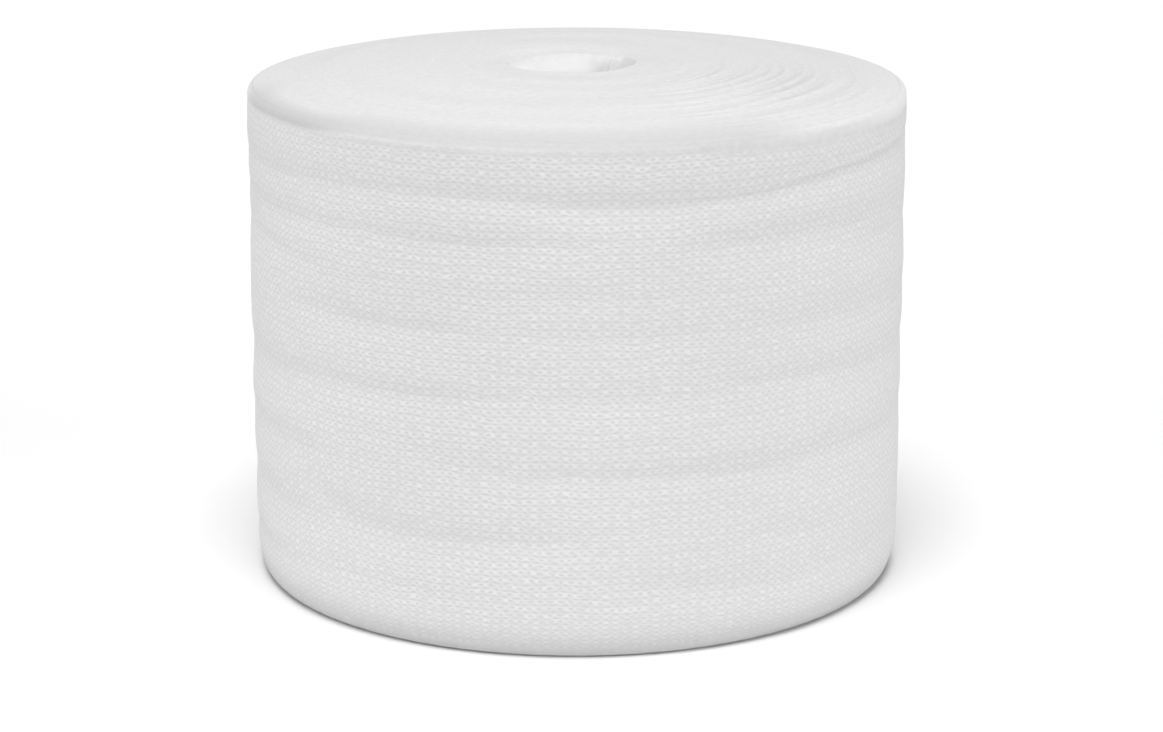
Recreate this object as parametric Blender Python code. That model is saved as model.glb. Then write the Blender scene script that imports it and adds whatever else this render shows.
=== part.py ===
"""A roll of tubular bandage: one long tube of white cotton knit, pressed flat and wound up.

The roll stands on its end, with no core, label or tie. The side edges of the flat tube are
soft folds, and they make the two ends of the roll: the lower end is flat, the upper one is
crowned round the hole. The outer wall follows the winding, so it steps in by one doubled
layer where the tube's cut end lies, at the back. The hole does the same at the inner end, and
below its mouth the innermost turn, which nothing holds, swells into it.
"""
import math
from typing import NamedTuple

import bmesh
import bpy

# Sizes of the tube and of the roll, in metres
TUBE_WIDTH = 0.1000
ROLL_RADIUS = 0.0667
HOLE_RADIUS = 0.0130
DOUBLED_LAYER = 0.0013

# The upper end: how high it is crowned above the rim, and how late the crown falls off
CROWN_HEIGHT = 0.0043
CROWN_POWER = 3.3

# Radii of the soft edges
UPPER_ROUND = 0.0018
LOWER_ROUND = 0.0030
HOLE_ROUND = 0.0015

# Where the two cut ends of the tube lie, counted from +X towards +Y, and how steep they are
OUTER_END_DEG = 98.0
INNER_END_DEG = 53.0
END_STEP_DEG = 0.6

# How far the hole lies to the left of the axis, as a share of its radius
HOLE_SHIFT = 0.08

# How far the innermost turn swells into the hole, and how soon below the hole's edges
HOLE_SWELL = 0.0070
HOLE_SWELL_REACH = 0.0048
SWELL_MIDDLE_DEG = 170.0
LEAST_SWELL = 0.40

# Fineness of the mesh
COLUMNS = 80
WALL_ROWS = 27
EDGE_ROWS = 3
HOLE_EDGE_ROWS = 2
HOLE_DEPTHS = (0.0025, 0.0055, 0.0100, 0.0190)


class Crease(NamedTuple):
    """A soft trough that runs round the wall, from one angle to another."""

    start_deg: float
    end_deg: float
    start_height: float
    middle_height: float
    end_height: float
    half_width: float
    depth: float


CREASES = (
    Crease(-124.0, -4.0, 0.0912, 0.0900, 0.0890, 0.0024, 0.0009),
    Crease(-132.0, -80.0, 0.0835, 0.0803, 0.0818, 0.0024, 0.0006),
    Crease(-64.0, -8.0, 0.0806, 0.0815, 0.0780, 0.0024, 0.0006),
    Crease(-146.0, -102.0, 0.0654, 0.0650, 0.0656, 0.0026, 0.0005),
    Crease(-166.0, -100.0, 0.0498, 0.0512, 0.0518, 0.0026, 0.0006),
    Crease(-96.0, -16.0, 0.0385, 0.0367, 0.0364, 0.0030, 0.0005),
    Crease(-140.0, -98.0, 0.0286, 0.0252, 0.0234, 0.0034, 0.0007),
    Crease(20.0, 92.0, 0.0700, 0.0718, 0.0705, 0.0026, 0.0006),
    Crease(104.0, 172.0, 0.0412, 0.0396, 0.0420, 0.0028, 0.0006),
)


class Terrace(NamedTuple):
    """How far the turns at one place on the upper end stand up or lie low."""

    share_out: float
    lift: float


TERRACES = (
    Terrace(0.00, 0.0000),
    Terrace(0.16, 0.0003),
    Terrace(0.30, -0.0002),
    Terrace(0.44, 0.0003),
    Terrace(0.58, -0.0003),
    Terrace(0.72, 0.0002),
    Terrace(0.86, -0.0001),
    Terrace(1.00, 0.0000),
)
TERRACE_SHARES = (1.0, 0.93, 0.86, 0.79, 0.72, 0.65, 0.58, 0.51, 0.44, 0.37, 0.30, 0.16, 0.0)


def clear_scene():
    """Remove whatever the open file holds."""
    for item in list(bpy.data.objects):
        bpy.data.objects.remove(item, do_unlink=True)


def turn_share(angle_deg, end_deg):
    """Give how much of the last turn is wound at an angle, 0 just past the cut end."""
    return ((angle_deg - end_deg) % 360.0) / 360.0


def outer_radius(angle_deg):
    """Give the radius of the outer wall, which grows by one doubled layer in a turn."""
    return ROLL_RADIUS + DOUBLED_LAYER * (turn_share(angle_deg, OUTER_END_DEG) - 0.5)


def hole_radius(angle_deg):
    """Give the radius of the hole's wall, wound the same way and pushed a little to the left."""
    wound = DOUBLED_LAYER * (turn_share(angle_deg, INNER_END_DEG) - 0.5)
    return (HOLE_RADIUS + wound) * (1.0 - HOLE_SHIFT * math.cos(math.radians(angle_deg)))


def hole_swell(angle_deg, from_edge):
    """Give how far the innermost turn swells into the hole: most at the left, least at the right."""
    off_left = abs((angle_deg - SWELL_MIDDLE_DEG + 180.0) % 360.0 - 180.0)
    share = min(max((off_left - 75.0) / 75.0, 0.0), 1.0)
    strength = 1.0 - (1.0 - LEAST_SWELL) * share * share * (3.0 - 2.0 * share)
    return HOLE_SWELL * strength * (1.0 - math.exp(-from_edge / HOLE_SWELL_REACH))


def crease_depth(angle_deg, height):
    """Add up how deep the creases press the wall in at one place."""
    angle = (angle_deg + 180.0) % 360.0 - 180.0
    depth = 0.0
    for crease in CREASES:
        if not crease.start_deg < angle < crease.end_deg:
            continue
        along = (angle - crease.start_deg) / (crease.end_deg - crease.start_deg)
        straight = crease.start_height + along * (crease.end_height - crease.start_height)
        chord_middle = 0.5 * (crease.start_height + crease.end_height)
        bow = (crease.middle_height - chord_middle) * math.sin(math.pi * along)
        offset = (height - straight - bow) / crease.half_width
        depth += crease.depth * math.sin(math.pi * along) ** 0.5 * math.exp(-offset * offset)
    return depth


def terrace_lift(share_out):
    """Read the lift of the turns from the table, in a straight line between its rows."""
    for low, high in zip(TERRACES, TERRACES[1:]):
        if share_out <= high.share_out:
            part = (share_out - low.share_out) / (high.share_out - low.share_out)
            return low.lift + part * (high.lift - low.lift)
    return TERRACES[-1].lift


def top_height(radius, share_out, wall_radius):
    """Give the height of the crowned upper end at a radius."""
    crown = CROWN_HEIGHT * (1.0 - (radius / wall_radius) ** CROWN_POWER)
    return TUBE_WIDTH + crown + terrace_lift(share_out)


def profile(angle_deg):
    """Give one closed section of the roll, as (radius, height) pairs, outwards underneath."""
    wall = outer_radius(angle_deg)
    hole = hole_radius(angle_deg)
    points = [(hole, 0.0)]

    # Soft lower edge, from the flat underside round to the wall
    for row in range(EDGE_ROWS):
        turn = 0.5 * math.pi * row / EDGE_ROWS
        radius = wall - LOWER_ROUND * (1.0 - math.sin(turn))
        points.append((radius, LOWER_ROUND * (1.0 - math.cos(turn))))

    # The wall, with its creases
    inner_edge = hole + HOLE_ROUND
    outer_edge = wall - UPPER_ROUND
    rim_height = top_height(outer_edge, 1.0, wall)
    wall_top = rim_height - UPPER_ROUND
    for row in range(WALL_ROWS):
        height = LOWER_ROUND + (wall_top - LOWER_ROUND) * row / WALL_ROWS
        points.append((wall - crease_depth(angle_deg, height), height))

    # Soft upper edge, from the wall round to the crowned end
    for row in range(EDGE_ROWS):
        turn = 0.5 * math.pi * row / EDGE_ROWS
        radius = outer_edge + UPPER_ROUND * math.cos(turn)
        points.append((radius, wall_top + UPPER_ROUND * math.sin(turn)))

    # The crowned end, inwards over its terraces
    for share in TERRACE_SHARES:
        radius = inner_edge + share * (outer_edge - inner_edge)
        points.append((radius, top_height(radius, share, wall)))

    # Soft mouth of the hole, and the hole's swollen wall down to just above the underside
    mouth_height = points[-1][1]
    for row in range(1, HOLE_EDGE_ROWS + 1):
        turn = 0.5 * math.pi * row / HOLE_EDGE_ROWS
        radius = inner_edge - HOLE_ROUND * math.sin(turn)
        points.append((radius, mouth_height - HOLE_ROUND * (1.0 - math.cos(turn))))
    hole_top = points[-1][1]
    for depth in HOLE_DEPTHS:
        points.append((hole - hole_swell(angle_deg, depth), hole_top - depth))
    for depth in reversed(HOLE_DEPTHS):
        points.append((hole - hole_swell(angle_deg, depth), depth))
    return points


def column_angles():
    """Space the columns evenly, with one more just before each cut end."""
    angles = [OUTER_END_DEG + 360.0 * column / COLUMNS for column in range(COLUMNS)]
    angles.append(OUTER_END_DEG + 360.0 - END_STEP_DEG)
    angles.append(INNER_END_DEG + 360.0 - END_STEP_DEG)
    return sorted(angles)


def cotton_knit():
    """White cotton knit, matt and slightly warm."""
    material = bpy.data.materials.new("white_cotton_knit")
    material.use_nodes = True
    shader = material.node_tree.nodes["Principled BSDF"]
    shader.inputs["Base Color"].default_value = (0.86, 0.86, 0.85, 1.0)
    shader.inputs["Roughness"].default_value = 0.9
    shader.inputs["Metallic"].default_value = 0.0
    return material


def bandage_roll():
    """The whole roll: one solid of the wound tube, open along its axis."""
    body = bmesh.new()
    sections = []
    for angle_deg in column_angles():
        angle = math.radians(angle_deg)
        section = []
        for radius, height in profile(angle_deg):
            place = (radius * math.cos(angle), radius * math.sin(angle), height)
            section.append(body.verts.new(place))
        sections.append(section)

    rows = len(sections[0])
    for here, following in zip(sections, sections[1:] + sections[:1]):
        for row in range(rows):
            above = (row + 1) % rows
            body.faces.new((here[row], following[row], following[above], here[above]))

    # The winding makes the wall a spiral, so its footprint is centred on the origin here
    middle = [0.0, 0.0]
    for axis in (0, 1):
        reach = [vert.co[axis] for vert in body.verts]
        middle[axis] = 0.5 * (min(reach) + max(reach))
    bmesh.ops.translate(body, vec=(-middle[0], -middle[1], 0.0), verts=body.verts)
    bmesh.ops.recalc_face_normals(body, faces=body.faces)

    mesh = bpy.data.meshes.new("bandage_roll")
    body.to_mesh(mesh)
    body.free()
    mesh.shade_smooth()
    mesh.set_sharp_from_angle(angle=math.radians(40.0))
    mesh.materials.append(cotton_knit())
    roll = bpy.data.objects.new("bandage_roll", mesh)
    bpy.context.scene.collection.objects.link(roll)
    return roll


clear_scene()
bandage_roll()
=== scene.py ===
import math
from typing import NamedTuple

import bpy
import numpy as np
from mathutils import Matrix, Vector, noise


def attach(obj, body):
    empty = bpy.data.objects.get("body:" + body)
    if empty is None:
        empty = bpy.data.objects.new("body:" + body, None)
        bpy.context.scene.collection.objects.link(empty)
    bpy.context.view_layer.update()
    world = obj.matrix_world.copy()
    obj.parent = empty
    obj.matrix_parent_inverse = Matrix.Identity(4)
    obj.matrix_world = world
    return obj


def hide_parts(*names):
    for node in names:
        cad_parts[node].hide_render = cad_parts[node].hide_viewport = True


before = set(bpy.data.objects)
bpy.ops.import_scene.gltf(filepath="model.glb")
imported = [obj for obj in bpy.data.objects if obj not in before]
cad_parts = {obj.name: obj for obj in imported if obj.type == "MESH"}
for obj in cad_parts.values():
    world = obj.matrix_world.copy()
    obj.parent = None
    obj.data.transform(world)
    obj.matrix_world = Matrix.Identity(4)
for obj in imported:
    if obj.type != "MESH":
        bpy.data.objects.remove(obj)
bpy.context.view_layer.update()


# The bandage is one long tube of white cotton knit. The knitting machine makes it round, and
# it is pressed flat, so that it is double, and wound from the hole outwards with nothing
# inside. Its folded side edges, one turn beside the next, make the two ends of the roll.
TUBE_WIDTH = 0.1000
ROLL_RADIUS = 0.0667
HOLE_RADIUS = 0.0130
TURNS = 41.125
INNER_END_DEG = 53.0
TURN_GROWTH = (ROLL_RADIUS - HOLE_RADIUS) / TURNS
LAYER_HALF = 0.499 * TURN_GROWTH

# The spiral wall's footprint is centred on the origin, which puts the winding's own axis a
# quarter of a layer off it, to the left and to the front.
AXIS_OFFSET = -0.25 * TURN_GROWTH


def soft_step(value, low, high):
    """Rise softly from 0 to 1 between two values."""
    share = np.clip((value - low) / (high - low), 0.0, 1.0)
    return share * share * (3.0 - 2.0 * share)


def soft_band(value, start, full_start, full_end, end):
    """Rise softly from 0 to 1, stay there, and fall softly back to 0."""
    return soft_step(value, start, full_start) * (1.0 - soft_step(value, full_end, end))


def off_angle(angle_deg, middle_deg):
    """Give how far one angle lies off another, from -180 to 180."""
    return (angle_deg - middle_deg + 180.0) % 360.0 - 180.0


def near_angle(angle_deg, middle_deg, full_deg, none_deg):
    """Give 1 close to an angle and 0 far off it, falling softly between the two distances."""
    return 1.0 - soft_step(np.abs(off_angle(angle_deg, middle_deg)), full_deg, none_deg)


def noise_round(angle, spread, along):
    """Read smooth noise round a circle, where it closes on itself, and along its axis."""
    spots = np.stack([spread * np.cos(angle), spread * np.sin(angle), along], axis=-1)
    values = [noise.noise(Vector(spot)) for spot in spots.reshape(-1, 3)]
    return np.array(values).reshape(spots.shape[:-1])


def turn_radius(turn):
    """Give the radius of a turn's middle, counted in turns from the inner cut end."""
    return HOLE_RADIUS + TURN_GROWTH * turn


def turn_angle_deg(turn):
    """Give the angle at which a turn's point lies, from +X towards +Y."""
    return INNER_END_DEG + 360.0 * turn


def length_along(turn):
    """Give the length of tube wound up so far."""
    return math.tau * turn * (HOLE_RADIUS + 0.5 * TURN_GROWTH * turn)


# To the right of the hole the turns part a little, over a ring at two thirds of the radius
LOOSE_MIDDLE_DEG = -28.0
LOOSE_REACH_DEG = 27.0
LOOSE_RING = 0.68 * ROLL_RADIUS
LOOSE_RING_REACH = 0.21 * ROLL_RADIUS


def looseness(turn):
    """Give how loosely the turns lie at a place."""
    off_middle = off_angle(turn_angle_deg(turn), LOOSE_MIDDLE_DEG)
    off_ring = turn_radius(turn) - LOOSE_RING
    return np.exp(-(off_middle / LOOSE_REACH_DEG) ** 2 - (off_ring / LOOSE_RING_REACH) ** 2)


# Close to the hole the turns sink, behind it and most at its left
BACK_SINK = 0.0006
BACK_SINK_DEG = 50.0
BACK_SINK_REACH_DEG = 42.0
LEFT_SINK = 0.0012
LEFT_SINK_DEG = 138.0
LEFT_SINK_REACH_DEG = 46.0
SINK_REACH = 0.0060


def mouth_drop(turn, radius):
    """Give how far the turns sink towards the hole."""
    off_back = off_angle(turn_angle_deg(turn), BACK_SINK_DEG)
    off_left = off_angle(turn_angle_deg(turn), LEFT_SINK_DEG)
    near_hole = 1.0 - soft_step(radius, HOLE_RADIUS, HOLE_RADIUS + SINK_REACH)
    at_back = BACK_SINK * np.exp(-(off_back / BACK_SINK_REACH_DEG) ** 2)
    return near_hole * (at_back + LEFT_SINK * np.exp(-(off_left / LEFT_SINK_REACH_DEG) ** 2))


# Among the loose turns, some stand up as a ridge and the next few lie low
RIDGE_HEIGHT = 0.00042
RIDGE_TURNS = 2.6
RIDGE_SPREAD = 1.3
RIDGE_STEP = 0.31
RIDGE_WANDER = 5.0


def ridge_wave(turn, side):
    """Give whether the turns at a place stand up, 1, or lie low, -1."""
    place = turn + 0.5 * side
    angle = np.radians(turn_angle_deg(turn))
    wander = RIDGE_WANDER * noise_round(angle, RIDGE_SPREAD, RIDGE_STEP * place)
    return np.cos(math.tau * place / RIDGE_TURNS + wander)


# The upper end is crowned round the hole, and softly uneven
CROWN_HEIGHT = 0.0043
CROWN_POWER = 3.3
UNEVEN_HEIGHT = 0.00035
UNEVEN_SPREAD = 0.8
UNEVEN_STEP = 0.19
UNEVEN_START = 7.0


def upper_edge(turn, side):
    """Give the height of the tube's upper fold, across the fold."""
    place = turn + 0.5 * side
    radius = turn_radius(place)
    crown = CROWN_HEIGHT * (1.0 - (radius / ROLL_RADIUS) ** CROWN_POWER)
    angle = np.radians(turn_angle_deg(turn))
    broad = noise_round(angle, UNEVEN_SPREAD, UNEVEN_STEP * place + UNEVEN_START)
    ridges = RIDGE_HEIGHT * looseness(turn) * ridge_wave(turn, side)
    uneven = UNEVEN_HEIGHT * broad + ridges
    return TUBE_WIDTH + crown - mouth_drop(turn, radius) + uneven


# The roll's two outer edges are soft: the upper one most at the left, and the foot tucks in
# over its lowest 9 mm
UPPER_ROUND = 0.0013
LEFT_UPPER_ROUND = 0.0004
LOWER_ROUND = 0.0029
FOOT_HEIGHT = 0.0088


def round_edge(from_wall, from_end, rounding):
    """Give how far a square edge's points move in and down when the edge is rounded."""
    lean = np.clip((from_end - from_wall) / rounding, -1.0, 1.0)
    angle = 0.25 * np.pi * (1.0 - lean)
    near = (from_wall < rounding) & (from_end < rounding)
    inwards = np.where(near, rounding * (1.0 - np.cos(angle)) - from_wall, 0.0)
    endwards = np.where(near, rounding * (1.0 - np.sin(angle)) - from_end, 0.0)
    return inwards, endwards


class Section(NamedTuple):
    """The pressed tube cut across: rows from the lower fold, up outside and down inside."""

    side: np.ndarray
    share_up: np.ndarray
    fold: np.ndarray
    around: np.ndarray


def tube_section(outer_rows, inner_rows, fold_rows):
    """Lay out the rows round the pressed tube, and how far round it each one is."""
    quarter = np.linspace(0.0, 0.5 * np.pi, fold_rows // 2 + 1)
    half = np.linspace(0.0, np.pi, fold_rows + 1)
    outside = np.linspace(0.0, 1.0, outer_rows + 1)[1:-1]
    inside = np.linspace(1.0, 0.0, inner_rows + 1)[1:-1]
    side = np.concatenate([np.sin(quarter), np.ones(outside.size), np.cos(half),
                           -np.ones(inside.size), -np.cos(quarter)])
    fold = np.concatenate([-np.cos(quarter) ** 2, np.zeros(outside.size), np.sin(half) ** 2,
                           np.zeros(inside.size), -np.sin(quarter) ** 2])
    share_up = np.concatenate([np.zeros(quarter.size), outside, np.ones(half.size),
                               inside, np.zeros(quarter.size)])
    steps = np.abs(np.diff(side)) * LAYER_HALF + np.abs(np.diff(share_up)) * TUBE_WIDTH
    around = np.concatenate([[0.0], np.cumsum(steps)])
    return Section(side, share_up, fold, around)


class Crease(NamedTuple):
    """A soft trough in the wall of the roll, from one angle to another."""

    start_deg: float
    end_deg: float
    start_height: float
    middle_height: float
    end_height: float
    reach_above: float
    reach_below: float
    depth: float


# The cloth was wound by a light pull, so the wall is creased round the roll, in shallow
# troughs that are steeper above than below. Those in front, the first rows of the table, lie
# where they show. Those at the back, from the row that starts at 8 degrees on, are like them.
CREASES = (
    Crease(-214.0, -134.0, 0.0984, 0.0985, 0.0988, 0.0008, 0.0034, 0.00026),
    Crease(-70.0, -4.0, 0.1002, 0.1000, 0.0998, 0.0030, 0.0034, 0.00022),
    Crease(-66.0, 44.0, 0.1002, 0.1000, 0.0998, 0.0030, 0.0036, 0.00026),
    Crease(-186.0, -118.0, 0.0882, 0.0889, 0.0892, 0.0020, 0.0038, 0.00066),
    Crease(-140.0, -72.0, 0.0897, 0.0896, 0.0889, 0.0019, 0.0035, 0.00054),
    Crease(-100.0, -40.0, 0.0882, 0.0888, 0.0906, 0.0018, 0.0034, 0.00092),
    Crease(-66.0, 2.0, 0.0894, 0.0914, 0.0914, 0.0018, 0.0036, 0.00112),
    Crease(-124.0, -80.0, 0.0385, 0.0366, 0.0350, 0.0032, 0.0050, 0.00038),
    Crease(-183.0, -128.0, 0.0806, 0.0808, 0.0802, 0.0023, 0.0042, 0.00084),
    Crease(-140.0, -82.0, 0.0814, 0.0808, 0.0812, 0.0022, 0.0039, 0.00056),
    Crease(-76.0, -6.0, 0.0786, 0.0804, 0.0782, 0.0025, 0.0045, 0.00092),
    Crease(-182.0, -134.0, 0.0742, 0.0738, 0.0716, 0.0029, 0.0053, 0.00068),
    Crease(-120.0, -60.0, 0.0722, 0.0710, 0.0706, 0.0026, 0.0049, 0.00020),
    Crease(-42.0, 4.0, 0.0748, 0.0748, 0.0738, 0.0025, 0.0045, 0.00060),
    Crease(-150.0, -102.0, 0.0640, 0.0634, 0.0636, 0.0020, 0.0038, 0.00056),
    Crease(-104.0, -62.0, 0.0636, 0.0634, 0.0628, 0.0022, 0.0039, 0.00022),
    Crease(-66.0, 2.0, 0.0638, 0.0622, 0.0598, 0.0030, 0.0056, 0.00076),
    Crease(-183.0, -128.0, 0.0480, 0.0492, 0.0508, 0.0025, 0.0045, 0.00084),
    Crease(-148.0, -98.0, 0.0510, 0.0506, 0.0514, 0.0019, 0.0035, 0.00056),
    Crease(-108.0, -58.0, 0.0516, 0.0514, 0.0508, 0.0025, 0.0045, 0.00020),
    Crease(-72.0, 4.0, 0.0530, 0.0512, 0.0494, 0.0025, 0.0047, 0.00078),
    Crease(-183.0, -138.0, 0.0352, 0.0350, 0.0348, 0.0023, 0.0042, 0.00068),
    Crease(-152.0, -118.0, 0.0352, 0.0348, 0.0354, 0.0020, 0.0038, 0.00022),
    Crease(-98.0, -46.0, 0.0374, 0.0360, 0.0352, 0.0019, 0.0035, 0.00048),
    Crease(-66.0, 6.0, 0.0352, 0.0364, 0.0354, 0.0022, 0.0042, 0.00080),
    Crease(-184.0, -134.0, 0.0226, 0.0216, 0.0218, 0.0031, 0.0058, 0.00078),
    Crease(-144.0, -114.0, 0.0292, 0.0236, 0.0218, 0.0029, 0.0053, 0.00074),
    Crease(-128.0, -84.0, 0.0222, 0.0228, 0.0238, 0.0025, 0.0045, 0.00060),
    Crease(-64.0, -34.0, 0.0232, 0.0208, 0.0192, 0.0025, 0.0045, 0.00030),
    Crease(-188.0, -140.0, 0.0106, 0.0098, 0.0104, 0.0026, 0.0049, 0.00068),
    Crease(-148.0, -98.0, 0.0112, 0.0116, 0.0110, 0.0025, 0.0045, 0.00030),
    Crease(-88.0, -46.0, 0.0162, 0.0128, 0.0112, 0.0025, 0.0045, 0.00038),
    Crease(-58.0, -4.0, 0.0108, 0.0118, 0.0112, 0.0026, 0.0049, 0.00038),
    Crease(8.0, 84.0, 0.0890, 0.0904, 0.0886, 0.0020, 0.0038, 0.00094),
    Crease(66.0, 138.0, 0.0884, 0.0890, 0.0898, 0.0019, 0.0035, 0.00078),
    Crease(112.0, 178.0, 0.0896, 0.0882, 0.0886, 0.0020, 0.0038, 0.00092),
    Crease(-8.0, 52.0, 0.0782, 0.0800, 0.0790, 0.0025, 0.0045, 0.00068),
    Crease(40.0, 112.0, 0.0796, 0.0806, 0.0800, 0.0023, 0.0042, 0.00074),
    Crease(100.0, 176.0, 0.0802, 0.0790, 0.0808, 0.0025, 0.0045, 0.00068),
    Crease(14.0, 66.0, 0.0706, 0.0716, 0.0710, 0.0026, 0.0049, 0.00046),
    Crease(92.0, 150.0, 0.0714, 0.0704, 0.0712, 0.0026, 0.0049, 0.00038),
    Crease(-4.0, 56.0, 0.0624, 0.0640, 0.0632, 0.0025, 0.0045, 0.00056),
    Crease(48.0, 104.0, 0.0650, 0.0638, 0.0646, 0.0023, 0.0042, 0.00048),
    Crease(106.0, 186.0, 0.0634, 0.0650, 0.0626, 0.0025, 0.0046, 0.00060),
    Crease(2.0, 70.0, 0.0506, 0.0494, 0.0514, 0.0023, 0.0042, 0.00068),
    Crease(76.0, 120.0, 0.0524, 0.0514, 0.0510, 0.0022, 0.0039, 0.00038),
    Crease(108.0, 176.0, 0.0518, 0.0504, 0.0496, 0.0025, 0.0045, 0.00074),
    Crease(-2.0, 46.0, 0.0362, 0.0350, 0.0358, 0.0023, 0.0042, 0.00056),
    Crease(50.0, 106.0, 0.0354, 0.0368, 0.0362, 0.0022, 0.0039, 0.00058),
    Crease(112.0, 180.0, 0.0370, 0.0358, 0.0352, 0.0023, 0.0042, 0.00068),
    Crease(4.0, 86.0, 0.0242, 0.0220, 0.0234, 0.0028, 0.0051, 0.00060),
    Crease(96.0, 172.0, 0.0214, 0.0232, 0.0220, 0.0028, 0.0051, 0.00068),
    Crease(-6.0, 52.0, 0.0114, 0.0104, 0.0116, 0.0025, 0.0046, 0.00038),
    Crease(52.0, 178.0, 0.0120, 0.0108, 0.0114, 0.0025, 0.0046, 0.00038),
)

CREASE_SHARPNESS = 1.35


def crease_depth(angle_deg, height):
    """Add up how deep the creases press the wall in at one place."""
    depth = np.zeros_like(height)
    for crease in CREASES:
        along = ((angle_deg - crease.start_deg) % 360.0) / (crease.end_deg - crease.start_deg)
        inside = np.clip(along, 0.0, 1.0)
        straight = crease.start_height + inside * (crease.end_height - crease.start_height)
        sag = crease.middle_height - 0.5 * (crease.start_height + crease.end_height)
        offset = height - straight - sag * np.sin(np.pi * inside)
        reach = np.where(offset > 0.0, crease.reach_above, crease.reach_below)
        trough = np.exp(-np.abs(offset / reach) ** CREASE_SHARPNESS)
        depth += crease.depth * np.sin(np.pi * inside) * trough
    return depth


# The wall bulges a little between its creases, most at the right, and is softly uneven: the
# swells are long round the roll and short up it, the dents smaller both ways.
WALL_SLACK = 0.00010
RIGHT_WALL_SLACK = 0.00014
SWELL_HEIGHT = 0.00020
SWELL_SPREAD = 1.6
SWELL_STEP = 70.0
DENT_HEIGHT = 0.00009
DENT_SPREAD = 5.0
DENT_STEP = 190.0
DENT_START = 3.0


def wall_swell(angle_deg, height):
    """Give how far the wall stands out between its creases."""
    angle = np.radians(angle_deg)
    swells = noise_round(angle, SWELL_SPREAD, SWELL_STEP * height)
    dents = noise_round(angle, DENT_SPREAD, DENT_STEP * height + DENT_START)
    slack = WALL_SLACK + RIGHT_WALL_SLACK * np.cos(angle)
    return slack + SWELL_HEIGHT * swells + DENT_HEIGHT * dents


# Nothing holds the innermost turn, so it swells into the hole: most at the left, least at
# the right. The hole itself lies a little to the left of the axis.
BULGE = 0.0070
LEAST_BULGE_SHARE = 0.40
BULGE_REACH = 0.0048
BULGE_MIDDLE_DEG = 170.0
BULGE_FULL_DEG = 75.0
BULGE_LEAST_DEG = 150.0
HOLE_SHIFT = 0.08
HOLE_SHIFT_REACH = 0.012


def hole_bulge(angle_deg, from_edge):
    """Give how far the innermost turn's inner face swells into the hole below its mouth."""
    at_left = near_angle(angle_deg, BULGE_MIDDLE_DEG, BULGE_FULL_DEG, BULGE_LEAST_DEG)
    share = LEAST_BULGE_SHARE + (1.0 - LEAST_BULGE_SHARE) * at_left
    return BULGE * share * (1.0 - np.exp(-from_edge / BULGE_REACH))


class Points(NamedTuple):
    """The tube's points: where each lies on the winding, and what it is near."""

    turn: np.ndarray
    angle_deg: np.ndarray
    side: np.ndarray
    radius: np.ndarray
    height: np.ndarray
    below_top: np.ndarray
    from_wall: np.ndarray


# The fold at the tube's side edge is flat where the turns are tight, rounder where they part.
# A raw cut end is thinner, and the cloth thins towards it over a few millimetres.
FOLD_HEIGHT = 0.00003
LOOSE_FOLD_HEIGHT = 0.00010
INNER_END_THINNING = 0.94
OUTER_END_THINNING = 0.75
THINNING_REACH = 0.0025


def wound_points(turn, row, section, innermost, outermost):
    """Lay the points of a stretch of tube on the winding, with all that shapes it."""
    angle_deg = turn_angle_deg(turn)
    side = section.side[row]
    top = upper_edge(turn, side)
    fold_height = FOLD_HEIGHT + (LOOSE_FOLD_HEIGHT - FOLD_HEIGHT) * looseness(turn)
    straight = top - 2.0 * fold_height
    height = fold_height * (1.0 + section.fold[row]) + straight * section.share_up[row]

    # A raw end lies close on the turn that it was wound on or wound into
    from_raw_end = np.minimum(length_along(turn), length_along(TURNS) - length_along(turn))
    thinnest = np.where(turn < 0.5 * TURNS, INNER_END_THINNING, OUTER_END_THINNING)
    thinning = thinnest * LAYER_HALF * np.exp(-from_raw_end / THINNING_REACH)
    towards_roll = np.where(turn < 0.5 * TURNS, 1.0, -1.0)
    radius = turn_radius(turn) + side * (LAYER_HALF - thinning) + towards_roll * thinning

    # The last turns round off the roll's two edges
    wall_turn = turn + np.floor(TURNS - turn)
    from_wall = (wall_turn + 0.5 - turn - 0.5 * side) * TURN_GROWTH
    upper_round = UPPER_ROUND - LEFT_UPPER_ROUND * np.cos(np.radians(angle_deg))
    inwards, downwards = round_edge(from_wall, top - height, upper_round)
    steepness = FOOT_HEIGHT / LOWER_ROUND
    inwards_below, upwards = round_edge(from_wall, height / steepness, LOWER_ROUND)
    radius -= inwards + inwards_below
    height += steepness * upwards - downwards

    if innermost:
        inner_share = 0.5 - 0.5 * side
        radius -= inner_share * hole_bulge(angle_deg, np.minimum(top - height, height))
    if outermost:
        outer_share = 0.5 + 0.5 * side
        radius += outer_share * (wall_swell(angle_deg, height) - crease_depth(angle_deg, height))
    shift = HOLE_SHIFT * np.exp(-(radius - HOLE_RADIUS) / HOLE_SHIFT_REACH)
    radius *= 1.0 - shift * np.cos(np.radians(angle_deg))
    return Points(turn, angle_deg, side, radius, height, top - height, from_wall)


class TightPatch(NamedTuple):
    """A place below the rim where the cloth is pulled tight: the angles and the depths."""

    middle_deg: float
    full_deg: float
    none_deg: float
    start: float
    full_start: float
    full_end: float
    end: float
    flatness: float


TIGHT_PATCHES = (
    TightPatch(-20.0, 32.0, 52.0, 0.0004, 0.0014, 0.0018, 0.0044, 0.60),
    TightPatch(-4.0, 14.0, 36.0, 0.0002, 0.0010, 0.0014, 0.0062, 0.70),
)

# How flat the stitches are pulled on a fold and away from it, and how far down that reaches:
# furthest at the right
FOLD_FLATNESS = 0.85
FLATNESS_LOST = 0.80
FLAT_EDGE = 0.0004
FLAT_REACH = 0.0056
FLAT_REACH_LOST = 0.0018
FLAT_MIDDLE_DEG = -20.0
FLAT_FULL_DEG = 20.0
FLAT_LEAST_DEG = 60.0

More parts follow.
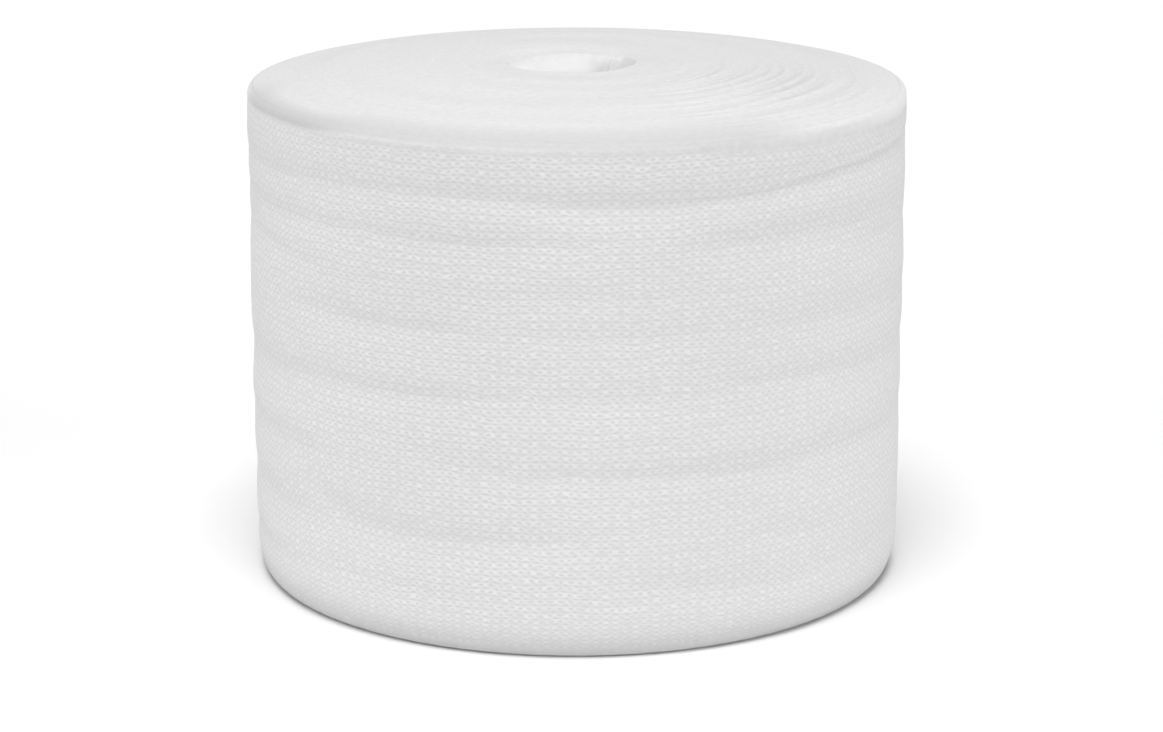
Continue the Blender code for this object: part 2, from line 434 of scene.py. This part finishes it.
# On the hole's mouth they are flat from just inside the lip, which is narrowest at the left,
# and the leaf of cloth that swells out at the left and the back is pulled quite smooth, with
# painted light on it: its colour is made lighter for the light that it catches
LIP = 0.0020
LIP_LOST = 0.0012
LIP_MIDDLE_DEG = 188.0
LIP_NARROW_DEG = 20.0
LIP_WIDE_DEG = 60.0
MOUTH_FLAT_END = 0.0060
MOUTH_END = 0.0120
MOUTH_FLATNESS = 0.60
LEAF_FLATNESS_AND_LIGHT = 1.25
LEAF_MIDDLE_DEG = 148.0
LEAF_FULL_DEG = 66.0
LEAF_NONE_DEG = 100.0


def stitch_flatness(points, innermost):
    """Give how flat the stitches are pulled: 0 not, 1 so that they are gone, more is smooth and
    lighter.
    """
    from_fold = (np.minimum(points.below_top, points.height)
                 + 0.5 * (1.0 - points.side * points.side) * LAYER_HALF)
    off_right = np.abs(off_angle(points.angle_deg, FLAT_MIDDLE_DEG))
    reach = FLAT_REACH - FLAT_REACH_LOST * soft_step(off_right, FLAT_FULL_DEG, FLAT_LEAST_DEG)
    flatness = FOLD_FLATNESS - FLATNESS_LOST * soft_step(from_fold, FLAT_EDGE, reach)
    on_wall = points.from_wall < 0.5 * TURN_GROWTH
    for patch in TIGHT_PATCHES:
        here = near_angle(points.angle_deg, patch.middle_deg, patch.full_deg, patch.none_deg)
        down = soft_band(points.below_top, patch.start, patch.full_start, patch.full_end,
                         patch.end)
        flatness += patch.flatness * here * down * on_wall
    if innermost:
        at_left = near_angle(points.angle_deg, LIP_MIDDLE_DEG, LIP_NARROW_DEG, LIP_WIDE_DEG)
        lip = LIP - LIP_LOST * at_left
        mouth = soft_band(from_fold, 0.0, lip, MOUTH_FLAT_END, MOUTH_END)
        leaf = near_angle(points.angle_deg, LEAF_MIDDLE_DEG, LEAF_FULL_DEG, LEAF_NONE_DEG)
        # The leaf's flatness goes past 1, which paints it lighter: painted light
        flatness = np.maximum(flatness, (MOUTH_FLATNESS + LEAF_FLATNESS_AND_LIGHT * leaf) * mouth)
    return flatness


# Painted shade: where shade falls in openings too fine to model, the cloth's colour is
# darkened instead: between the outer turns' folds at the front and the left of the rim, at
# the foot, among the turns that have sunk near the hole or lie low among the loose ones, and
# towards the back of the upper end. The share for sunk turns is for each metre of sinking.
# Painted shade under the upper rim, strongest at the front and the left
FRONT_GAP_SHADE = 0.52
FRONT_GAP_SHADE_DEG = -112.0
FRONT_GAP_SHADE_FULL_DEG = 50.0
FRONT_GAP_SHADE_NONE_DEG = 68.0
LEFT_GAP_SHADE = 0.26
LEFT_GAP_SHADE_DEG = -151.0
LEFT_GAP_SHADE_FULL_DEG = 8.0
LEFT_GAP_SHADE_NONE_DEG = 25.0
GAP_SHADE_WIDTH = 0.0105
LEFT_WIDTH_LOST = 0.0050
GAP_SHADE_FULL_DEPTH = 0.0002
LEFT_FULL_DEPTH_GAIN = 0.0006
GAP_SHADE_DEPTH = 0.0012
LEFT_DEPTH_GAIN = 0.0008
FOOT_SHADE = 0.48
FOOT_SHADE_HEIGHT = 0.0068
SUNK_SHADE = 90.0
LOW_TURN_SHADE = 0.16
BACK_SHADE = 0.10
BACK_SHADE_DEG = 45.0
BACK_SHADE_FULL_RADIUS = 0.84 * ROLL_RADIUS
BACK_SHADE_RADIUS = 0.97 * ROLL_RADIUS
TOP_FULL_DEPTH = 0.0004
TOP_DEPTH = 0.0020


def painted_rim_shade(points):
    """Give the painted shade of the upper rim, at the front and the left, by the outer turns'
    folds.
    """
    left = near_angle(points.angle_deg, LEFT_GAP_SHADE_DEG, LEFT_GAP_SHADE_FULL_DEG, LEFT_GAP_SHADE_NONE_DEG)
    front = near_angle(points.angle_deg, FRONT_GAP_SHADE_DEG, FRONT_GAP_SHADE_FULL_DEG, FRONT_GAP_SHADE_NONE_DEG)
    strength = FRONT_GAP_SHADE * front + LEFT_GAP_SHADE * left
    width = GAP_SHADE_WIDTH - LEFT_WIDTH_LOST * left
    gap_shade = strength * np.clip(1.0 - points.from_wall / width, 0.0, 1.0)
    return gap_shade * (1.0 - soft_step(points.below_top, GAP_SHADE_FULL_DEPTH + LEFT_FULL_DEPTH_GAIN * left,
                                   GAP_SHADE_DEPTH + LEFT_DEPTH_GAIN * left))


def painted_gap_shade(points, innermost, outermost):
    """Give how much painted shade darkens the cloth, for all the openings too fine to model."""
    gap_shade = painted_rim_shade(points)
    if outermost:
        # Painted shade at the foot, darker towards the floor, where the floor close by lies in
        # shade
        foot = 1.0 - soft_step(points.height, 0.0, FOOT_SHADE_HEIGHT)
        gap_shade = np.maximum(gap_shade, FOOT_SHADE * foot)
    # Painted shade on the turns that sink near the hole: the innermost turn lies open to the
    # light, the sunk turns behind it don't
    if not innermost:
        gap_shade = gap_shade + SUNK_SHADE * mouth_drop(points.turn, turn_radius(points.turn))
    # Painted shade on the upper end: darker towards the back, and on the turns that lie low among
    # the loose ones
    on_top = 1.0 - soft_step(points.below_top, TOP_FULL_DEPTH, TOP_DEPTH)
    angle = np.radians(points.angle_deg)
    towards_back = 0.5 + 0.5 * np.cos(angle - math.radians(BACK_SHADE_DEG))
    inside_rim = 1.0 - soft_step(turn_radius(points.turn), BACK_SHADE_FULL_RADIUS, BACK_SHADE_RADIUS)
    low_lying = looseness(points.turn) * (0.5 - 0.5 * ridge_wave(points.turn, points.side))
    return gap_shade + on_top * (BACK_SHADE * towards_back * inside_rim + LOW_TURN_SHADE * low_lying)


def store_values(mesh, name, values):
    """Keep one number for each point of a piece, for its material."""
    attribute = mesh.attributes.new(name, "FLOAT", "POINT")
    attribute.data.foreach_set("value", values)


def close_tube():
    """Join the selected grid's two long edges at the lower fold, and close its two ends."""
    bpy.ops.object.mode_set(mode="EDIT")
    bpy.ops.mesh.select_all(action="SELECT")
    bpy.ops.mesh.remove_doubles(threshold=0.000001)
    bpy.ops.mesh.select_all(action="DESELECT")
    bpy.ops.mesh.select_mode(type="EDGE")
    bpy.ops.mesh.select_non_manifold(extend=False, use_wire=False, use_boundary=True,
                                     use_multi_face=False, use_non_contiguous=False,
                                     use_verts=False)
    bpy.ops.mesh.edge_face_add()
    bpy.ops.mesh.select_all(action="SELECT")
    bpy.ops.mesh.normals_make_consistent(inside=False)
    bpy.ops.object.mode_set(mode="OBJECT")
    bpy.ops.object.shade_smooth_by_angle(angle=math.radians(50.0))


def wind_tube(name, first_turn, last_turn, columns, section):
    """Wind a stretch of the tube: a flat grid whose rows go round the tube, wound and closed."""
    bpy.ops.object.select_all(action="DESELECT")
    rows = section.side.size - 1
    bpy.ops.mesh.primitive_grid_add(x_subdivisions=columns, y_subdivisions=rows, size=1.0)
    tube = bpy.context.object
    tube.name = name
    mesh = tube.data
    mesh.name = name
    flat = np.empty(len(mesh.vertices) * 3)
    mesh.vertices.foreach_get("co", flat)
    flat = flat.reshape(-1, 3)
    column = np.rint((flat[:, 0] + 0.5) * columns).astype(int)
    row = np.rint((flat[:, 1] + 0.5) * rows).astype(int)

    innermost = first_turn == 0.0
    outermost = last_turn == TURNS
    turn = np.linspace(first_turn, last_turn, columns + 1)[column]
    points = wound_points(turn, row, section, innermost, outermost)
    angle = np.radians(points.angle_deg)
    wound = np.stack([AXIS_OFFSET + points.radius * np.cos(angle),
                      AXIS_OFFSET + points.radius * np.sin(angle), points.height], axis=-1)
    mesh.vertices.foreach_set("co", wound.ravel())

    # The map lies along the tube and round it, in metres, so the stitches keep their size
    along = length_along(turn)
    corner = np.empty(len(mesh.loops), dtype=int)
    mesh.loops.foreach_get("vertex_index", corner)
    tube_map = mesh.uv_layers[0]
    tube_map.name = "tube_metres"
    place = np.stack([along[corner], section.around[row[corner]]], axis=-1)
    tube_map.data.foreach_set("uv", place.ravel())
    mesh.update()

    store_values(mesh, "pulled_flat", stitch_flatness(points, innermost))
    # Painted shade for the openings too fine to model, one number for each point
    store_values(mesh, "painted_shade", painted_gap_shade(points, innermost, outermost))
    close_tube()
    return tube


# The real tube is one piece. Here it is laid in three stretches: the first turn round the
# hole and the last one at the wall, which show their sides and so have a finer grid, and the
# winding between them, of which only the folds show.
INNER_STOP = 1.04
OUTER_START = TURNS - 1.04
INNER_COLUMNS = 110
COLUMNS_A_TURN = 84
WALL_COLUMNS = 250
inner_turn = wind_tube("bandage_inner_turn", 0.0, INNER_STOP, INNER_COLUMNS,
                       tube_section(outer_rows=80, inner_rows=80, fold_rows=6))
winding = wind_tube("bandage_winding", INNER_STOP, OUTER_START,
                    round((OUTER_START - INNER_STOP) * COLUMNS_A_TURN),
                    tube_section(outer_rows=3, inner_rows=3, fold_rows=6))
outer_turn = wind_tube("bandage_outer_turn", OUTER_START, TURNS, WALL_COLUMNS,
                       tube_section(outer_rows=300, inner_rows=6, fold_rows=8))


# The knit is plain jersey of soft white cotton yarn. Its wales run along the tube, so they lie
# round the roll as rows of small sideways stitches, wider than high because the tube is
# stretched along its length. Each stitch shows as two slanting legs of yarn.
STITCH_LENGTH = 0.00190
WALE_WIDTH = 0.00143
COTTON = (0.83, 0.83, 0.83, 1.0)
COTTON_SHADE = (0.66, 0.66, 0.66, 1.0)
# The colour towards which painted shade darkens the cloth
COTTON_PAINTED_SHADE = (0.46, 0.46, 0.46, 1.0)

# The finish: matt, with the soft shine of a nap
COTTON_ROUGHNESS = 0.92
COTTON_GLOSS = 0.25
NAP = 0.15
NAP_ROUGHNESS = 0.6

# How far the rows waver, in metres, and how often
WAVER_ALONG = 0.0022
WAVER_ALONG_SCALE = 330.0
WAVER_ROUND = 0.0018
WAVER_ROUND_SCALE = 150.0

# A leg's place off the middle of its wale, how far it swings, and half its width, in wales
LEG_PLACE = 0.24
LEG_SWING = -0.13
LEG_HALF_WIDTH = 0.30

# How much higher the yarn is where legs cross, in the middle of a wale, and where a stitch
# is held by the next
CROSSING_RISE = 0.13
WALE_RISE = 0.22
STITCH_RISE = 0.1

# The yarn's own unevenness, which is all that is left where the stitches are pulled flat
YARN_SCALE = 620.0
YARN_CONTRAST = 2.2
YARN_LOWEST = -0.15
PRESSED_LOWEST = -0.44
# How light the yarn is past full flatness; on the hole's leaf this is painted light
LIGHT_BEYOND_FLAT = 0.9

# Fibres and slubs, finer and broader than the yarn
FIBRE_SCALE = 2600.0
FIBRE_HEIGHT = 0.25
SLUB_SCALE = 420.0
SLUB_HEIGHT = 0.35
BUMP_STRENGTH = 0.45
BUMP_DEPTH = 0.00022

# How the colour goes from shade to light with the yarn's height
LIGHT_SHARE = 0.8
LEAST_LIGHT = 0.2


def math_node(tree, operation, first, second=0.0, third=0.0):
    """Add one Math node, fed by numbers or by other nodes' outputs."""
    node = tree.nodes.new("ShaderNodeMath")
    node.operation = operation
    for socket, value in zip(node.inputs, (first, second, third)):
        if isinstance(value, (int, float)):
            socket.default_value = value
        else:
            tree.links.new(value, socket)
    return node.outputs[0]


def noise_node(tree, vector, scale, detail=2.0):
    """Add one Noise Texture node and give its value, from 0 to 1."""
    node = tree.nodes.new("ShaderNodeTexNoise")
    node.inputs["Scale"].default_value = scale
    node.inputs["Detail"].default_value = detail
    tree.links.new(vector, node.inputs["Vector"])
    return node.outputs["Fac"]


def waver(tree, place, axis, scale, reach):
    """Move one coordinate of the map a little to and fro, because the knit is soft."""
    swing = math_node(tree, "SUBTRACT", noise_node(tree, place, scale), 0.5)
    return math_node(tree, "MULTIPLY_ADD", swing, reach, axis)


def raised(tree, yarn, wave, rise):
    """Make the yarn higher where a wave is at its top, and lower where it is at its foot."""
    share = math_node(tree, "MULTIPLY_ADD", wave, rise, 1.0 - rise)
    return math_node(tree, "MULTIPLY", yarn, share)


def knitted_yarn(tree, place):
    """Give the height of the yarn in the stitches, from 0 to about 1, over the tube's map."""
    parts = tree.nodes.new("ShaderNodeSeparateXYZ")
    tree.links.new(place, parts.inputs["Vector"])
    along = waver(tree, place, parts.outputs["X"], WAVER_ALONG_SCALE, WAVER_ALONG)
    around = waver(tree, place, parts.outputs["Y"], WAVER_ROUND_SCALE, WAVER_ROUND)

    # Each stitch: how far round its own length it is, and how far from the middle of its wale
    stitches = math_node(tree, "MULTIPLY", along, math.tau / STITCH_LENGTH)
    wales = math_node(tree, "DIVIDE", around, WALE_WIDTH)
    swing = math_node(tree, "COSINE", stitches)
    off_wale = math_node(tree, "SUBTRACT", math_node(tree, "FRACT", wales), 0.5)
    across = math_node(tree, "ABSOLUTE", off_wale)

    # The two legs of a wale swing apart and together, and stand out where they meet
    leg_middle = math_node(tree, "MULTIPLY_ADD", swing, LEG_SWING, LEG_PLACE)
    off_middle = math_node(tree, "SUBTRACT", across, leg_middle)
    off_leg = math_node(tree, "DIVIDE", off_middle, LEG_HALF_WIDTH)
    rounding = math_node(tree, "SUBTRACT", 1.0, math_node(tree, "MULTIPLY", off_leg, off_leg))
    leg = math_node(tree, "MAXIMUM", rounding, 0.0)
    wale_wave = math_node(tree, "COSINE", math_node(tree, "MULTIPLY", off_wale, math.tau))
    crossing = math_node(tree, "MULTIPLY", swing, wale_wave)
    yarn = raised(tree, leg, crossing, CROSSING_RISE)
    yarn = raised(tree, yarn, wale_wave, WALE_RISE)
    return raised(tree, yarn, swing, STITCH_RISE)


def cotton_jersey():
    """White cotton jersey, matt, with a soft nap."""
    material = bpy.data.materials.new("white_cotton_jersey")
    material.use_nodes = True
    tree = material.node_tree
    shader = tree.nodes["Principled BSDF"]
    shader.inputs["Roughness"].default_value = COTTON_ROUGHNESS
    shader.inputs["Specular IOR Level"].default_value = COTTON_GLOSS
    shader.inputs["Sheen Weight"].default_value = NAP
    shader.inputs["Sheen Roughness"].default_value = NAP_ROUGHNESS
    tube_map = tree.nodes.new("ShaderNodeUVMap")
    tube_map.uv_map = "tube_metres"
    place = tube_map.outputs["UV"]
    uneven = noise_node(tree, place, YARN_SCALE)
    unevenness = math_node(tree, "MULTIPLY_ADD", uneven, YARN_CONTRAST, YARN_LOWEST)
    yarn = math_node(tree, "MULTIPLY", knitted_yarn(tree, place), unevenness)

    # Where the knit is pulled flat, its stitches hardly show, and where it is pulled tight as well
    # it is smooth and lighter; on the hole's leaf that lighter colour is painted light, for the
    # light that the leaf catches
    pulled_flat = tree.nodes.new("ShaderNodeAttribute")
    pulled_flat.attribute_name = "pulled_flat"
    flatness = pulled_flat.outputs["Fac"]
    showing = math_node(tree, "MAXIMUM", math_node(tree, "SUBTRACT", 1.0, flatness), 0.0)
    yarn = math_node(tree, "MULTIPLY", yarn, showing)
    pressed = math_node(tree, "MULTIPLY_ADD", uneven, 1.0, PRESSED_LOWEST)
    tight = math_node(tree, "MAXIMUM", math_node(tree, "SUBTRACT", flatness, 1.0), 0.0)
    flattened = math_node(tree, "SUBTRACT", math_node(tree, "MINIMUM", flatness, 1.0), tight)
    yarn = math_node(tree, "MULTIPLY_ADD", flattened, pressed, yarn)
    yarn = math_node(tree, "MULTIPLY_ADD", tight, LIGHT_BEYOND_FLAT, yarn)

    fibre = noise_node(tree, place, FIBRE_SCALE, detail=3.0)
    slub = noise_node(tree, place, SLUB_SCALE)
    height = math_node(tree, "MULTIPLY_ADD", fibre, FIBRE_HEIGHT, yarn)
    height = math_node(tree, "MULTIPLY_ADD", slub, SLUB_HEIGHT, height)
    bump = tree.nodes.new("ShaderNodeBump")
    bump.inputs["Strength"].default_value = BUMP_STRENGTH
    bump.inputs["Distance"].default_value = BUMP_DEPTH
    tree.links.new(height, bump.inputs["Height"])
    tree.links.new(bump.outputs["Normal"], shader.inputs["Normal"])

    colour = tree.nodes.new("ShaderNodeMix")
    colour.data_type = "RGBA"
    colour.inputs["A"].default_value = COTTON_SHADE
    colour.inputs["B"].default_value = COTTON
    light = math_node(tree, "MULTIPLY_ADD", yarn, LIGHT_SHARE, LEAST_LIGHT)
    tree.links.new(light, colour.inputs["Factor"])

    # Painted shade: the colour is darkened where shade would fall in openings too fine to model
    painted_shade = tree.nodes.new("ShaderNodeAttribute")
    painted_shade.attribute_name = "painted_shade"
    shaded = tree.nodes.new("ShaderNodeMix")
    shaded.data_type = "RGBA"
    shaded.inputs["B"].default_value = COTTON_PAINTED_SHADE
    tree.links.new(painted_shade.outputs["Fac"], shaded.inputs["Factor"])
    tree.links.new(colour.outputs["Result"], shaded.inputs["A"])
    tree.links.new(shaded.outputs["Result"], shader.inputs["Base Color"])
    return material


jersey = cotton_jersey()
for piece, wound_length in ((inner_turn, length_along(INNER_STOP)),
                            (winding, length_along(OUTER_START) - length_along(INNER_STOP)),
                            (outer_turn, length_along(TURNS) - length_along(OUTER_START))):
    piece.data.materials.append(jersey)
    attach(piece, "root")
    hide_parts("bandage_roll")


# The floor is a plain white studio sweep, smooth and matt.
FLOOR_SIDE = 6.0
FLOOR_WHITE = (0.876, 0.876, 0.876, 1.0)
bpy.ops.object.select_all(action="DESELECT")
bpy.ops.mesh.primitive_plane_add(size=FLOOR_SIDE, location=(0.0, 0.0, 0.0))
floor = bpy.context.object
floor.name = "studio_floor"
floor_white = bpy.data.materials.new("studio_white")
floor_white.use_nodes = True
floor_shader = floor_white.node_tree.nodes["Principled BSDF"]
floor_shader.inputs["Base Color"].default_value = FLOOR_WHITE
floor_shader.inputs["Roughness"].default_value = 0.9
floor_shader.inputs["Specular IOR Level"].default_value = 0.0
floor.data.materials.append(floor_white)


# The light is that of a white studio: a large soft light high in front, a broad one overhead,
# and a low soft one at each side. The walls of the room give a little light from all round.
ROOM_LIGHT = 0.07
LIGHT_DISTANCE = 3.0
world = bpy.data.worlds.new("white_studio")
bpy.context.scene.world = world
world.use_nodes = True
room = world.node_tree.nodes["Background"]
room.inputs["Color"].default_value = (1.0, 1.0, 1.0, 1.0)
room.inputs["Strength"].default_value = ROOM_LIGHT


def soft_light(name, azimuth_deg, elevation_deg, spread_deg, strength):
    """Hang one round soft light far off; its azimuth counts from the front to the right."""
    azimuth = math.radians(azimuth_deg)
    elevation = math.radians(elevation_deg)
    towards = Vector((math.cos(elevation) * math.sin(azimuth),
                      -math.cos(elevation) * math.cos(azimuth), math.sin(elevation)))
    bpy.ops.object.light_add(type="SUN", location=LIGHT_DISTANCE * towards)
    light = bpy.context.object
    light.name = name
    light.data.angle = math.radians(spread_deg)
    light.data.energy = strength
    light.rotation_euler = towards.to_track_quat("Z", "Y").to_euler()


soft_light("front_light", azimuth_deg=-7.0, elevation_deg=72.0, spread_deg=32.0, strength=2.02)
soft_light("back_light", azimuth_deg=180.0, elevation_deg=88.0, spread_deg=40.0, strength=1.13)
soft_light("left_light", azimuth_deg=-66.0, elevation_deg=12.0, spread_deg=30.0, strength=0.86)
soft_light("right_light", azimuth_deg=66.0, elevation_deg=12.0, spread_deg=30.0, strength=0.98)


# The camera stands 65 cm in front of the roll's axis and looks down at it, by 15 degrees.
CAMERA_PLACE = (0.00103, -0.6545, 0.2173)
CAMERA_PITCH_DEG = 15.14
CAMERA_LENS = 101.16
CAMERA_SENSOR = 36.0
bpy.ops.object.camera_add(location=CAMERA_PLACE)
camera = bpy.context.object
camera.name = "studio_camera"
camera.rotation_euler = (math.radians(90.0 - CAMERA_PITCH_DEG), 0.0, 0.0)
camera.data.lens = CAMERA_LENS
camera.data.sensor_width = CAMERA_SENSOR
camera.data.clip_start = 0.01
bpy.context.scene.camera = camera
bpy.context.scene.view_settings.view_transform = "Standard"
